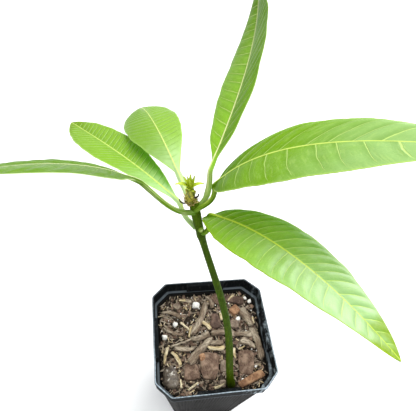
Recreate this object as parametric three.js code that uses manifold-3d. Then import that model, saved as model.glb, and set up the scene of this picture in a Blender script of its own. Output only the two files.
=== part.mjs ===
// Young mango tree in a square nursery pot.
// Millimetres, +Z up, origin at the centre of the pot's flat underside.
import * as THREE from "three";
import Module from "manifold-3d";
import { mergeVertices } from "three/addons/utils/BufferGeometryUtils.js";

// ---- Driving dimensions ----

const clearance = 0.35; // gap between pieces that touch

const pot = {
  height: 125,
  rimHalf: 45, // half the width over the rim
  rimChamfer: 11.1, // leg of each cut corner
  beadHeight: 2,
  bandHalf: 44.2, // half the width of the upper band, under the bead
  ledgeHeight: 114, // the wall steps in here
  bodyHalf: 42.6, // half the width just under the step
  footHalf: 29,
  footChamfer: 7,
  rimInnerHalf: 43.7,
  bandInnerHalf: 43.1,
  bodyInnerHalf: 41.3,
  footInnerHalf: 27.4,
  floor: 2,
  seam: 15.5, // the thick middle of each side runs this far each way
  seamSlope: 0.3,
};

const mix = { top: 110.7 };

// Large pieces of bark and straw on the mix: place, size, turn about Z and tilt, in mm and degrees.
const chips = [
  { at: [-3.6, -21.1], size: [20, 13.5, 4], turn: 83, tilt: 4 },
  { at: [-17.5, -23.3], size: [12, 10, 3.4], turn: 32, tilt: -5 },
  { at: [-33.2, -27.2], size: [14, 8, 3.6], turn: 109, tilt: 6 },
  { at: [25.1, -19.6], size: [19, 12, 4], turn: 81, tilt: -4 },
  { at: [26.7, -32.6], size: [19, 6, 4.4], turn: 18, tilt: 7 },
  { at: [22, 22.2], size: [8, 7.5, 5.2], turn: 36, tilt: 8 },
  { at: [6.2, 14.6], size: [10, 7.4, 3.6], turn: 54, tilt: 5 },
  { at: [-7.1, 20.1], size: [32, 5.8, 3.4], turn: 64, tilt: 3 },
  { at: [-15.4, 0.9], size: [34, 3.2, 3.2], turn: 14, tilt: -3 },
  { at: [-10.3, -7.3], size: [28, 6.2, 3.8], turn: 44, tilt: 4 },
  { at: [33, 13.9], size: [22, 5, 3.4], turn: 101, tilt: 3 },
  { at: [35.6, -9], size: [22, 4.7, 3.2], turn: 91, tilt: -3 },
];
const chipSunk = 0.55; // share of a chip's height that lies in the mix

const stem = {
  // Control points of its curve, from the mix to the growing tip.
  curve: [
    [11, -35.3, 111.1],
    [2.1, -30.7, 155.8],
    [8.1, -24.1, 200.6],
    [-16.6, -20.5, 245.3],
    [-23.8, -11.3, 290],
  ],
  footRadius: 2.75,
  neckRadius: 1.45, // radius the even taper would reach at the top
  flare: 0.5, // added at the mix, gone by flareReach
  flareReach: 0.05,
  crownSwell: 0.75, // added under the whorl of leaves
  crownStart: 0.84,
  nodeSwell: 0.3, // ring where the two lower leaf stalks stand
  nodeAt: 0.88,
  nodeReach: 0.012,
  stations: 26,
  sides: 12,
};

const shoot = {
  base: [-23.9, -11.2, 290.4],
  leanBack: 6.5, // degrees towards -X
  coreRadius: 2.3,
  coreHeight: 10,
  leaflets: [
    { heading: 178, rise: 75, root: 6, length: 8.2, halfWidth: 1.2, droop: -75 },
    { heading: 2, rise: 80, root: 6, length: 6.8, halfWidth: 1.2, droop: -65 },
    { heading: 100, rise: 84, root: 6, length: 9.2, halfWidth: 1.2, droop: -8 },
    { heading: 50, rise: 78, root: 6, length: 7.2, halfWidth: 1.1, droop: -10 },
    { heading: 165, rise: 72, root: 6, length: 7.2, halfWidth: 1.1, droop: -10 },
    { heading: 255, rise: 66, root: 5, length: 5.6, halfWidth: 1.1, droop: -30 },
  ],
  leafletThickness: 0.5,
};

// Each leaf: where its stalk leaves the stem (fraction of the stem's length and heading round it),
// the stalk's two handle lengths, then the blade. The blade's midrib starts at base, points to
// heading and rise, turns and bends evenly along its length, and lift bends it back towards the
// tip. Widths are half-widths left and right of the midrib; early and late shape the outline.
// roll and twist turn the blade about its midrib, and fold raises both halves. Degrees and mm.
const leaves = [
  {
    name: "leaf_left",
    stalk: { at: 0.985, heading: 215, out: 4, in: 8 },
    base: [-46.5, -7.5, 300],
    heading: 205, rise: 50, turn: 8, bend: -72, lift: 16,
    length: 108, left: 17.5, right: 12.5, early: 0.7, late: 1.0,
    roll: 16, twist: 33, fold: -2,
  },
  {
    name: "leaf_back_left",
    stalk: { at: 0.9, heading: 129, out: 8, in: 4 },
    base: [-29.5, -4, 282.5],
    heading: 119, rise: -11, turn: 4, bend: -18, lift: 12,
    length: 130, left: 14.5, right: 12.5, early: 1.05, late: 0.8,
    roll: 10, twist: -17, fold: 11,
  },
  {
    name: "leaf_back",
    stalk: { at: 0.98, heading: 140, out: 2.5, in: 5 },
    base: [-28.5, 3, 290.5],
    heading: 102, rise: -3, turn: -3, bend: -24, lift: -13,
    length: 118, left: 17, right: 15.5, early: 1.35, late: 1.05,
    roll: -7, twist: -8, fold: -12,
  },
  {
    name: "leaf_upright",
    stalk: { at: 0.98, heading: 40, out: 4, in: 6 },
    base: [-16.8, -4.5, 303],
    heading: 60.4, rise: 33, turn: 21, bend: -60, lift: 41,
    length: 123, left: 15, right: 17, early: 0.8, late: 0.85,
    roll: -41, twist: -36, fold: 11,
  },
  {
    name: "leaf_right",
    stalk: { at: 0.985, heading: -45, out: 8, in: 7 },
    base: [-15, -8, 297],
    heading: -37, rise: 66, turn: -12, bend: -72, lift: 30,
    length: 105, left: 16, right: 19.5, early: 0.7, late: 0.85,
    roll: 11, twist: -12, fold: 1,
  },
  {
    name: "leaf_front",
    stalk: { at: 0.885, heading: -20, out: 4, in: 5 },
    base: [-18, -11.5, 282],
    heading: -52, rise: 36, turn: -13, bend: -53, lift: 13,
    length: 97, left: 14.5, right: 19, early: 0.7, late: 0.75,
    roll: 4, twist: -34, fold: 6,
  },
];

const blade = {
  thickness: 1.35,
  ridge: 0.5, // how far the midrib stands out under the blade
  stalkRootRadius: 1.2,
  stalkRadius: 0.95,
  tipRadius: 0.6,
  blendLength: 0.07, // share of the blade over which the round stalk flattens
  tipHalfWidth: 0.5,
  stalkStations: 9,
  stations: 28,
};

const materials = {
  pot: new THREE.MeshStandardMaterial({ color: 0x16191b, roughness: 0.35, metalness: 0 }),
  mix: new THREE.MeshStandardMaterial({ color: 0x4f3f35, roughness: 0.95, metalness: 0 }),
  stem: new THREE.MeshStandardMaterial({ color: 0x40650f, roughness: 0.5, metalness: 0 }),
  shoot: new THREE.MeshStandardMaterial({ color: 0x9dab2e, roughness: 0.55, metalness: 0 }),
  leaf: new THREE.MeshStandardMaterial({ color: 0x6fae3c, roughness: 0.4, metalness: 0 }),
};

// ---- Small helpers ----

const radians = THREE.MathUtils.degToRad;
const vector = (values) => new THREE.Vector3(...values);
const mixed = THREE.MathUtils.lerp;
const up = new THREE.Vector3(0, 0, 1);

function headingVector(degrees) {
  return new THREE.Vector3(Math.cos(radians(degrees)), Math.sin(radians(degrees)), 0);
}

// A closed skin through rings of equally many points, with a fan over the first and last ring.
// Rings run counter-clockwise as seen looking back along the way they advance.
function loft(rings) {
  const count = rings[0].length;
  const points = rings.flat();
  const middle = (ring) => ring.reduce((sum, p) => sum.add(p), new THREE.Vector3()).divideScalar(count);
  const first = points.push(middle(rings[0])) - 1;
  const last = points.push(middle(rings.at(-1))) - 1;
  const index = [];
  for (let k = 0; k < count; k++) {
    const next = (k + 1) % count;
    index.push(first, next, k);
    const end = (rings.length - 1) * count;
    index.push(last, end + k, end + next);
    for (let row = 0; row < rings.length - 1; row++) {
      const a = row * count;
      const b = a + count;
      index.push(a + k, a + next, b + next, a + k, b + next, b + k);
    }
  }
  const geometry = new THREE.BufferGeometry().setFromPoints(points);
  geometry.setIndex(index);
  geometry.computeVertexNormals();
  return geometry;
}

const wasm = await Module();
wasm.setup();

function solid(geometry) {
  const bare = geometry.clone();
  bare.deleteAttribute("normal");
  bare.deleteAttribute("uv");
  const merged = mergeVertices(bare, 1e-4);
  return new wasm.Manifold(
    new wasm.Mesh({
      numProp: 3,
      vertProperties: merged.attributes.position.array,
      triVerts: new Uint32Array(merged.index.array),
    }),
  );
}

function fused(geometries) {
  const whole = geometries.map(solid).reduce((sum, part) => sum.add(part));
  const mesh = whole.getMesh();
  const geometry = new THREE.BufferGeometry();
  geometry.setAttribute("position", new THREE.BufferAttribute(mesh.vertProperties, 3));
  geometry.setIndex(new THREE.BufferAttribute(mesh.triVerts, 1));
  geometry.computeVertexNormals();
  return geometry;
}

// ---- Pot and mix ----

// A square ring with cut corners. The middle of each side can stand at its own distance.
function squareRing(z, half, chamfer, middleHalf = half) {
  const edge = half - chamfer;
  const outerSeam = pot.seam + pot.seamSlope;
  const alongSide = [
    [-edge, half],
    [-outerSeam, half],
    [-pot.seam, middleHalf],
    [pot.seam, middleHalf],
    [outerSeam, half],
    [edge, half],
  ];
  const ring = [];
  for (let side = 0; side < 4; side++) {
    const turn = (side * Math.PI) / 2;
    for (const [along, out] of alongSide) {
      const point = new THREE.Vector3(out, along, z);
      ring.push(point.applyAxisAngle(up, turn));
    }
  }
  return ring;
}

function potGeometry() {
  const { height, rimHalf, rimChamfer, ledgeHeight, bodyInnerHalf } = pot;
  const chamferAt = (half) => mixed(pot.footChamfer, rimChamfer, (half - pot.footHalf) / (rimHalf - pot.footHalf));
  const ring = (z, half, middleHalf) => squareRing(z, half, chamferAt(half), middleHalf);
  return loft([
    ring(0, pot.footHalf),
    ring(ledgeHeight - 1, pot.bodyHalf),
    ring(ledgeHeight, pot.bandHalf),
    ring(height - pot.beadHeight - 0.3, pot.bandHalf + 0.3),
    ring(height - pot.beadHeight, rimHalf),
    ring(height, rimHalf),
    ring(height, pot.rimInnerHalf, bodyInnerHalf),
    ring(ledgeHeight + 0.6, pot.bandInnerHalf, bodyInnerHalf),
    ring(ledgeHeight + 0.2, bodyInnerHalf),
    ring(pot.floor, pot.footInnerHalf),
  ]);
}

// The inside of the pot's wall, at a height, less the clearance.
function mixRing(z) {
  const rise = (z - pot.floor) / (pot.ledgeHeight + 0.2 - pot.floor);
  const half = mixed(pot.footInnerHalf, pot.bodyInnerHalf, rise) - clearance;
  const chamfer = mixed(6.7, 10.2, rise);
  const edge = half - chamfer;
  const ring = [];
  for (let side = 0; side < 4; side++) {
    const turn = (side * Math.PI) / 2;
    ring.push(new THREE.Vector3(half, -edge, z).applyAxisAngle(up, turn));
    ring.push(new THREE.Vector3(half, edge, z).applyAxisAngle(up, turn));
  }
  return ring;
}

function chipGeometry({ at, size, turn, tilt }) {
  const box = new THREE.BoxGeometry(...size);
  box.rotateX(radians(tilt));
  box.rotateZ(radians(turn));
  box.translate(at[0], at[1], mix.top + size[2] * (0.5 - chipSunk));
  return box;
}

function mixGeometry() {
  const body = loft([mixRing(pot.floor + clearance), mixRing(mix.top)]);
  return fused([body, ...chips.map(chipGeometry)]);
}

// ---- Stem ----

// A point on the stem's axis and the axis's direction there, by repeated halving of the way
// between its control points.
function stemAxis(along) {
  let points = stem.curve.map(vector);
  let axis = null;
  while (points.length > 1) {
    axis = points[1].clone().sub(points[0]);
    points = points.slice(1).map((point, k) => points[k].clone().lerp(point, along));
  }
  return { centre: points[0], axis: axis.normalize() };
}

function stemRadius(along) {
  const taper = mixed(stem.footRadius, stem.neckRadius, along);
  const flare = stem.flare * Math.exp(-((along / stem.flareReach) ** 2));
  const crown = stem.crownSwell * THREE.MathUtils.smoothstep(along, stem.crownStart, 0.98);
  const node = stem.nodeSwell * Math.exp(-(((along - stem.nodeAt) / stem.nodeReach) ** 2));
  return taper + flare + crown + node;
}

function stemGeometry() {
  const rings = [];
  for (let row = 0; row <= stem.stations; row++) {
    const along = row / stem.stations;
    const { centre, axis: slope } = stemAxis(along);
    // Both ends are cut level.
    const axis = row === 0 || row === stem.stations ? up : slope;
    const across = new THREE.Vector3(1, 0, 0).addScaledVector(axis, -axis.x).normalize();
    const forward = new THREE.Vector3().crossVectors(axis, across);
    const ring = [];
    for (let k = 0; k < stem.sides; k++) {
      const angle = (2 * Math.PI * k) / stem.sides;
      const reach = stemRadius(along);
      ring.push(
        centre
          .clone()
          .addScaledVector(across, reach * Math.cos(angle))
          .addScaledVector(forward, reach * Math.sin(angle)),
      );
    }
    rings.push(ring);
  }
  return loft(rings);
}

// ---- Leaves ----

// Outline of a mango blade: 0 at both ends, 1 at its widest.
function outline(along, early, late) {
  const widest = early / (early + late);
  const rise = along ** early * (1 - along) ** late;
  return rise / (widest ** early * (1 - widest) ** late);
}

// Midrib points with the blade's own axes: forward, left side and upper normal.
function midrib(leaf, stations) {
  const rows = [];
  const point = vector(leaf.base);
  let previous = null;
  for (let row = 0; row <= stations; row++) {
    const along = row / stations;
    const heading = radians(leaf.heading + leaf.turn * along);
    const rise = radians(leaf.rise + leaf.bend * along + leaf.lift * along * along);
    const forward = new THREE.Vector3(
      Math.cos(rise) * Math.cos(heading),
      Math.cos(rise) * Math.sin(heading),
      Math.sin(rise),
    );
    if (previous) {
      point.addScaledVector(previous.clone().add(forward), leaf.length / stations / 2);
    }
    previous = forward;
    const side = new THREE.Vector3(-Math.sin(heading), Math.cos(heading), 0);
    side.applyAxisAngle(forward, radians(leaf.roll + leaf.twist * along));
    const normal = new THREE.Vector3().crossVectors(forward, side);
    rows.push({ along, point: point.clone(), forward, side, normal });
  }
  return rows;
}

// The stalk's curve from 0.35 mm off the stem to the blade's base, as the same kind of rows.
function stalk(leaf, bladeStart) {
  const { at, heading, out } = leaf.stalk;
  const { centre, axis } = stemAxis(at);
  const away = headingVector(heading);
  away.addScaledVector(axis, -away.dot(axis)).normalize();
  const root = centre.addScaledVector(away, stemRadius(at) + clearance);
  const curve = new THREE.CubicBezierCurve3(
    root,
    root.clone().addScaledVector(away, out),
    bladeStart.point.clone().addScaledVector(bladeStart.forward, -leaf.stalk.in),
    bladeStart.point,
  );
  const rootSide = new THREE.Vector3().crossVectors(axis, away);
  const rows = [];
  for (let row = 0; row < blade.stalkStations; row++) {
    const along = row / blade.stalkStations;
    const forward = curve.getTangent(along);
    const side = rootSide.clone().lerp(bladeStart.side, along);
    side.addScaledVector(forward, -side.dot(forward)).normalize();
    const normal = new THREE.Vector3().crossVectors(forward, side);
    rows.push({ along, point: curve.getPoint(along), forward, side, normal });
  }
  return rows;
}

// Ten points round a section. Angle places a point on the round stalk. Reach and level place it
// on the flat blade: from the right margin, -1, to the left margin, 1, on its upper or lower face.
const section = [
  { angle: -15, reach: 1, level: -1 },
  { angle: 15, reach: 1, level: 1 },
  { angle: 55, reach: 0.5, level: 1 },
  { angle: 90, reach: 0, level: 1 },
  { angle: 125, reach: -0.5, level: 1 },
  { angle: 165, reach: -1, level: 1 },
  { angle: 195, reach: -1, level: -1 },
  { angle: 235, reach: -0.5, level: -1 },
  { angle: 270, reach: 0, level: -1, ridge: 1 },
  { angle: 305, reach: 0.5, level: -1 },
];

function place(row, across, above) {
  return row.point.clone().addScaledVector(row.side, across).addScaledVector(row.normal, above);
}

function roundSection(row, radius) {
  return section.map(({ angle }) =>
    place(row, radius * Math.cos(radians(angle)), radius * Math.sin(radians(angle))),
  );
}

function bladeSection(row, leaf) {
  const width = outline(row.along, leaf.early, leaf.late);
  const flatness = THREE.MathUtils.smoothstep(row.along, 0, blade.blendLength);
  const radius = mixed(blade.stalkRadius, blade.tipRadius, row.along);
  const fold = radians(leaf.fold);
  const round = roundSection(row, radius);
  return section.map(({ reach, level, ridge = 0 }, k) => {
    const half = Math.max((reach > 0 ? leaf.left : leaf.right) * width, blade.tipHalfWidth);
    const across = half * reach * Math.cos(fold);
    const lifted = half * Math.abs(reach) * Math.sin(fold);
    const ridgeDepth = ridge * blade.ridge * (1 - row.along);
    const flat = place(row, across, lifted + (level * blade.thickness) / 2 - ridgeDepth);
    return round[k].lerp(flat, flatness);
  });
}

function leafGeometry(leaf) {
  const bladeRows = midrib(leaf, blade.stations);
  const stalkRows = stalk(leaf, bladeRows[0]);
  return loft([
    ...stalkRows.map((row) =>
      roundSection(row, mixed(blade.stalkRootRadius, blade.stalkRadius, row.along)),
    ),
    ...bladeRows.map((row) => bladeSection(row, leaf)),
  ]);
}

// ---- Growing tip ----

// A leaflet is a flat pointed strip that starts inside the core.
function leafletGeometry(leaflet) {
  const strip = {
    base: [0, 0, leaflet.root],
    heading: leaflet.heading,
    rise: leaflet.rise,
    turn: 0,
    bend: leaflet.droop,
    lift: 0,
    length: leaflet.length,
    roll: 0,
    twist: 0,
  };
  const half = shoot.leafletThickness / 2;
  const rings = midrib(strip, 7).map((row) => {
    const across = leaflet.halfWidth * Math.max(outline(row.along, 0.35, 0.8), 0.15);
    return [place(row, across, 0), place(row, 0, half), place(row, -across, 0), place(row, 0, -half)];
  });
  return loft(rings);
}

function shootGeometry() {
  const { coreRadius, coreHeight } = shoot;
  const profile = [
    [0, 0],
    [0.92, 0],
    [1, 0.14],
    [0.86, 0.3],
    [0.95, 0.42],
    [0.8, 0.62],
    [0.5, 0.85],
    [0, 1],
  ].map(([out, along]) => new THREE.Vector2(out * coreRadius, along * coreHeight));
  const core = new THREE.LatheGeometry(profile, 12).rotateX(Math.PI / 2);
  return fused([core, ...shoot.leaflets.map(leafletGeometry)]);
}

// ---- Assembly ----

function piece(name, geometry, material) {
  const mesh = new THREE.Mesh(geometry, material);
  mesh.name = name;
  return mesh;
}

const sapling = new THREE.Group();
sapling.add(piece("pot", potGeometry(), materials.pot));
sapling.add(piece("potting_mix", mixGeometry(), materials.mix));
sapling.add(piece("stem", stemGeometry(), materials.stem));

const shootTip = piece("shoot_tip", shootGeometry(), materials.shoot);
shootTip.position.set(...shoot.base);
shootTip.rotation.y = -radians(shoot.leanBack);
sapling.add(shootTip);

for (const leaf of leaves) {
  sapling.add(piece(leaf.name, leafGeometry(leaf), materials.leaf));
}

export default sapling;
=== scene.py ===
"""Young mango tree in a square black nursery pot, dressed for close views.

Shapes are worked out in millimetres in the part's own frame, with the origin at the centre of the
pot's underside, and go into each mesh in metres.
"""

import math

import bpy
import numpy as np
from mathutils import Matrix, Vector


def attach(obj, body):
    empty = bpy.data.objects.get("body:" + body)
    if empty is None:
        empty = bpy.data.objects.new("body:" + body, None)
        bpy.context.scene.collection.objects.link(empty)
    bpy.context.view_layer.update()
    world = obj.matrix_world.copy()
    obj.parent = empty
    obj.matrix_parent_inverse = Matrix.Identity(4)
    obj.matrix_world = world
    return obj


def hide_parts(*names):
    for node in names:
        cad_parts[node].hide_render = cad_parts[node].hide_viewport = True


MM = 0.001
ROOT = "root"

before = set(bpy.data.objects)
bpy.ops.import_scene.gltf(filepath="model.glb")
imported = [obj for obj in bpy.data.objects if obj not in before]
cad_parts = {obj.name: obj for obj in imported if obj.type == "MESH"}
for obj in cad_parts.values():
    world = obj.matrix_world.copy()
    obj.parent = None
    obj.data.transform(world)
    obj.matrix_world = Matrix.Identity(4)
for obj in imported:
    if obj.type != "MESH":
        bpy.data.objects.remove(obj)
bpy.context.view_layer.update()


# ---- Arrays and meshes ----


def unit(v):
    """Vectors made one long."""
    return v / np.maximum(np.linalg.norm(v, axis=-1, keepdims=True), 1e-12)


def ease(x, low, high):
    """0 below low, 1 above high, and a smooth S between."""
    t = np.clip((x - low) / (high - low), 0, 1)
    return t * t * (3 - 2 * t)


def turned(v, axis, angle):
    """Vectors v turned about unit vectors axis by angle: v cos(angle) + (axis x v) sin(angle)
    + axis (axis . v) (1 - cos(angle))."""
    c, s = np.cos(angle)[..., None], np.sin(angle)[..., None]
    return v * c + np.cross(axis, v) * s + axis * (v * axis).sum(-1, keepdims=True) * (1 - c)


def circle(count):
    """Even angles once round."""
    return np.linspace(0, 2 * math.pi, count, endpoint=False)


def stacked(*values):
    """Arrays of numbers, spread to one shape, as the coordinates of points."""
    return np.stack(np.broadcast_arrays(*values), -1)


ROUGH_WAVES = 9
ROUGH_GAIN = 1.6  # the mean of many waves is weak, so it is made this much stronger


def rough(points, scale, seed):
    """Smooth lumps of about -1 to 1 at each point: the mean of sine waves of random direction,
    whose wavelengths lie round scale."""
    draw = np.random.default_rng(seed)
    direction = unit(draw.normal(size=(ROUGH_WAVES, 3)))
    pace = 2 * math.pi / (scale * draw.uniform(0.6, 1.6, ROUGH_WAVES))
    start = draw.uniform(0, 2 * math.pi, ROUGH_WAVES)
    return np.sin(points @ direction.T * pace + start).mean(-1) * ROUGH_GAIN


def bezier(controls, along):
    """Points and unit directions on the curve that repeated halving of the way between its control
    points gives, for along from 0 to 1."""
    points = [np.asarray(p, float)[None, :] for p in controls]
    t = np.asarray(along, float)[:, None]
    while len(points) > 1:
        slope = points[1] - points[0]
        points = [a + (b - a) * t for a, b in zip(points, points[1:])]
    return points[0] + np.zeros_like(slope), unit(slope + np.zeros((len(t), 1)))


def loft(rings, values=None):
    """A closed skin through an array of rings, rings x points x 3, with a fan over each end. Rings
    run counter-clockwise as seen looking back along the way they advance. values holds numbers
    for each point, which spread to rings x points. The result is (points, quads, triangles,
    values)."""
    rows, count = rings.shape[:2]
    points = np.concatenate([rings.reshape(-1, 3), rings[[0, -1]].mean(1)])
    row, k = np.meshgrid(np.arange(rows - 1), np.arange(count), indexing="ij")
    low, high, after = row * count, (row + 1) * count, (k + 1) % count
    quads = np.stack([low + k, low + after, high + after, high + k], -1).reshape(-1, 4)
    k, after = k[0], after[0]
    first, last, end = rows * count, rows * count + 1, (rows - 1) * count
    triangles = np.concatenate([stacked(first, after, k), stacked(last, end + k, end + after)])
    marks = {}
    for key, value in (values or {}).items():
        spread = np.broadcast_to(value, (rows, count))
        marks[key] = np.concatenate([spread.ravel(), spread[[0, -1]].mean(1)])
    return points, quads, triangles, marks


def joined(parts):
    """Several lofts as one."""
    offset, all_quads, all_triangles = 0, [], []
    for points, quads, triangles, _ in parts:
        all_quads.append(quads + offset)
        all_triangles.append(triangles + offset)
        offset += len(points)
    marks = {key: np.concatenate([p[3][key] for p in parts]) for key in parts[0][3]}
    return (
        np.concatenate([p[0] for p in parts]),
        np.concatenate(all_quads),
        np.concatenate(all_triangles),
        marks,
    )


def repeated(shapes, quads, triangles):
    """Many shapes of one build, shapes x points x 3, as one loft's (points, quads, triangles)."""
    number, size = shapes.shape[:2]
    step = (np.arange(number) * size)[:, None, None]
    return (
        shapes.reshape(-1, 3),
        (quads[None] + step).reshape(-1, 4),
        (triangles[None] + step).reshape(-1, 3),
        {},
    )


def piece(name, skin, material, replaces=(), smooth=True):
    """A mesh object in metres from a loft, riding on the part."""
    points, quads, triangles, values = skin
    corners = np.concatenate([quads.ravel(), triangles.ravel()])
    sizes = np.concatenate([np.full(len(quads), 4), np.full(len(triangles), 3)])
    mesh = bpy.data.meshes.new(name)
    mesh.vertices.add(len(points))
    mesh.vertices.foreach_set("co", (points * MM).ravel())
    mesh.loops.add(len(corners))
    mesh.loops.foreach_set("vertex_index", corners)
    mesh.polygons.add(len(sizes))
    mesh.polygons.foreach_set("loop_start", np.cumsum(sizes) - sizes)
    mesh.polygons.foreach_set("use_smooth", np.full(len(sizes), smooth))
    for key, numbers in values.items():
        mesh.attributes.new(key, "FLOAT", "POINT").data.foreach_set("value", numbers)
    mesh.update(calc_edges=True)
    mesh.materials.append(material)
    made = bpy.data.objects.new(name, mesh)
    bpy.context.scene.collection.objects.link(made)
    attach(made, ROOT)
    if replaces:
        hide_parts(*replaces)
    return made


# ---- Shader nodes ----


def colour(code):
    """A colour for a shader from its six-figure screen code."""
    parts = [int(code[k : k + 2], 16) / 255 for k in (0, 2, 4)]
    return tuple(c / 12.92 if c <= 0.04045 else ((c + 0.055) / 1.055) ** 2.4 for c in parts) + (1,)


class Nodes:
    """Adds nodes to one node tree and joins them."""

    def __init__(self, tree):
        self.tree = tree

    def add(self, kind, inputs, **settings):
        """A new node whose inputs are plain values or other nodes' outputs."""
        node = self.tree.nodes.new("ShaderNode" + kind)
        for key, value in settings.items():
            setattr(node, key, value)
        for key, value in inputs.items():
            if isinstance(value, bpy.types.NodeSocket):
                self.tree.links.new(value, node.inputs[key])
            else:
                node.inputs[key].default_value = value
        return node

    def math(self, operation, *values):
        """One step of arithmetic."""
        return self.add("Math", dict(enumerate(values)), operation=operation).outputs[0]

    def times(self, first, *others):
        """The values multiplied together."""
        for other in others:
            first = self.math("MULTIPLY", first, other)
        return first

    def plus(self, a, b):
        """a and b added."""
        return self.math("ADD", a, b)

    def less(self, a, b):
        """a with b taken off."""
        return self.math("SUBTRACT", a, b)

    def step(self, value, low, high, start=0.0, end=1.0):
        """From start at low to end at high, on a smooth S."""
        inputs = {"Value": value, 1: low, 2: high, 3: start, 4: end}
        return self.add("MapRange", inputs, interpolation_type="SMOOTHSTEP").outputs[0]

    def paint(self, under, *layers):
        """A colour with others laid over it in turn, each given as (mask, colour code)."""
        base = colour(under)
        for mask, code in layers:
            inputs = {0: mask, 6: base, 7: colour(code)}
            base = self.add("Mix", inputs, data_type="RGBA").outputs[2]
        return base

    def value(self, name):
        """The numbers that the piece's mesh carries under a name."""
        return self.add("Attribute", {}, attribute_name=name).outputs["Fac"]

    def scaled(self, where, by):
        """Places multiplied by one number."""
        return self.add("VectorMath", {0: where, "Scale": by}, operation="SCALE").outputs[0]

    def stretched(self, where, by):
        """Places multiplied by a number for each axis."""
        return self.add("VectorMath", {0: where, 1: by}, operation="MULTIPLY").outputs[0]

    def place(self):
        """Position on the piece, in millimetres."""
        return self.scaled(self.add("TexCoord", {}).outputs["Object"], 1 / MM)

    def vector(self, x, y, z=0.0):
        """Three numbers as one place."""
        return self.add("CombineXYZ", {0: x, 1: y, 2: z}).outputs[0]

    def apart(self, where):
        """The three numbers of a place."""
        return self.add("SeparateXYZ", {0: where}).outputs[:3]

    def noise(self, where, size, detail=2.0, roughness=0.5):
        """Cloudy noise from 0 to 1 whose features are about size millimetres wide."""
        inputs = {"Vector": where, "Scale": 1 / size, "Detail": detail, "Roughness": roughness}
        return self.add("TexNoise", inputs).outputs["Fac"]

    def cells(self, where, size):
        """Distance from the borders of cells that are about size millimetres wide."""
        inputs = {"Vector": where, "Scale": 1 / size}
        return self.add("TexVoronoi", inputs, feature="DISTANCE_TO_EDGE").outputs["Distance"]

    def bump(self, height, depth):
        """Relief of depth millimetres."""
        inputs = {"Height": height, "Strength": 1.0, "Distance": depth * MM}
        return self.add("Bump", inputs).outputs[0]

    def feed(self, node, **sockets):
        """Joins outputs to a node's inputs: Base_Color=..., Roughness=..., Normal=..."""
        for key, value in sockets.items():
            self.tree.links.new(value, node.inputs[key.replace("_", " ")])


def group(name, inputs, outputs):
    """An empty node group with named number sockets: (group, nodes, its inputs, its output)."""
    tree = bpy.data.node_groups.new(name, "ShaderNodeTree")
    for way, sockets in (("INPUT", inputs), ("OUTPUT", outputs)):
        for socket in sockets:
            tree.interface.new_socket(socket, in_out=way, socket_type="NodeSocketFloat")
    source = tree.nodes.new("NodeGroupInput")
    return tree, Nodes(tree), source.outputs, tree.nodes.new("NodeGroupOutput")


VEIN_INPUTS = ("Phase", "Rib", "Edge", "Along", "Width", "Midrib width")
VEIN_OUTPUTS = ("Veins", "Hollow", "Midrib", "Margin", "Net", "Thread")
VEIN_WANDER, VEIN_START = 0.14, 0.5


def vein_group():
    """Veins of a leaf. Phase rises by one from each side vein to the next, Rib and Edge are
    millimetres from the midrib and the margin, Along runs from 0 at the base to 1 at the tip, and
    Width is half a side vein's width as a share of the way to the next one. The second output is
    painted shade in the crease beside each side vein, and Thread the finest veins, which run
    between them."""
    tree, n, given, out = group("leaf veins", VEIN_INPUTS, VEIN_OUTPUTS)
    place = n.place()
    wander = n.math("MULTIPLY_ADD", n.noise(place, 8.0), VEIN_WANDER, VEIN_START)
    phase = n.plus(given["Phase"], wander)
    before = n.math("FRACT", phase)
    near = n.less(0.5, n.math("ABSOLUTE", n.less(before, 0.5)))  # 0 on a vein, 0.5 half-way on
    width = n.times(given["Width"], n.step(given["Rib"], 0.0, 14.0, 1.25, 0.7))
    line = n.step(n.math("DIVIDE", near, width), 0.3, 1.0, 1.0, 0.0)
    fade = n.times(n.step(given["Edge"], 0.6, 4.0), n.step(given["Along"], 0.01, 0.05))
    # painted shade in the crease on one side of each side vein
    crease = n.times(n.step(before, 0.6, 0.97), n.step(before, 0.97, 1.0, 1.0, 0.4))
    n.feed(out, Veins=n.times(line, fade), Hollow=n.times(crease, fade))
    reach = n.times(given["Midrib width"], n.step(given["Along"], 0.0, 1.0, 1.0, 0.42))
    n.feed(out, Midrib=n.step(n.math("DIVIDE", given["Rib"], reach), 0.5, 1.0, 1.0, 0.0))
    edge = n.step(given["Edge"], 0.1, 0.9, 1.0, 0.0)
    n.feed(out, Margin=n.times(edge, n.step(given["Rib"], 1.2, 2.6)))
    on_blade = n.step(given["Along"], 0.0, 0.04)
    n.feed(out, Net=n.times(n.step(n.cells(place, 1.6), 0.0, 0.09, 1.0, 0.0), on_blade))
    laid = n.stretched(n.vector(n.times(phase, 4.0), given["Rib"]), (1.0, 0.12, 1.0))
    n.feed(out, Thread=n.times(n.step(n.noise(laid, 0.5, 3.0), 0.5, 0.66), on_blade))
    return tree


def grain_group():
    """Fine uneven grain: Cloud is broad lightness, Fleck is small bright specks."""
    tree, n, given, out = group("grain", ["Size"], ["Cloud", "Fleck"])
    scaled = n.scaled(n.place(), n.math("DIVIDE", 1.0, given["Size"]))
    n.feed(out, Cloud=n.step(n.noise(scaled, 1.0, 5.0), 0.3, 0.7))
    n.feed(out, Fleck=n.step(n.noise(scaled, 1 / 4.5), 0.62, 0.72))
    return tree


VEINS = vein_group()
GRAIN = grain_group()


def new_material(name, roughness=0.5, coat=0.0, coat_roughness=0.3, specular=0.5):
    """A new material: (material, nodes, its shader)."""
    made = bpy.data.materials.new(name)
    made.use_nodes = True
    shader = made.node_tree.nodes["Principled BSDF"]
    shader.inputs["Roughness"].default_value = roughness
    shader.inputs["Coat Weight"].default_value = coat
    shader.inputs["Coat Roughness"].default_value = coat_roughness
    shader.inputs["Specular IOR Level"].default_value = specular
    return made, Nodes(made.node_tree), shader


UNDERSIDE, STALK_ROOT = "8fb85c", "4c7414"


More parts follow.
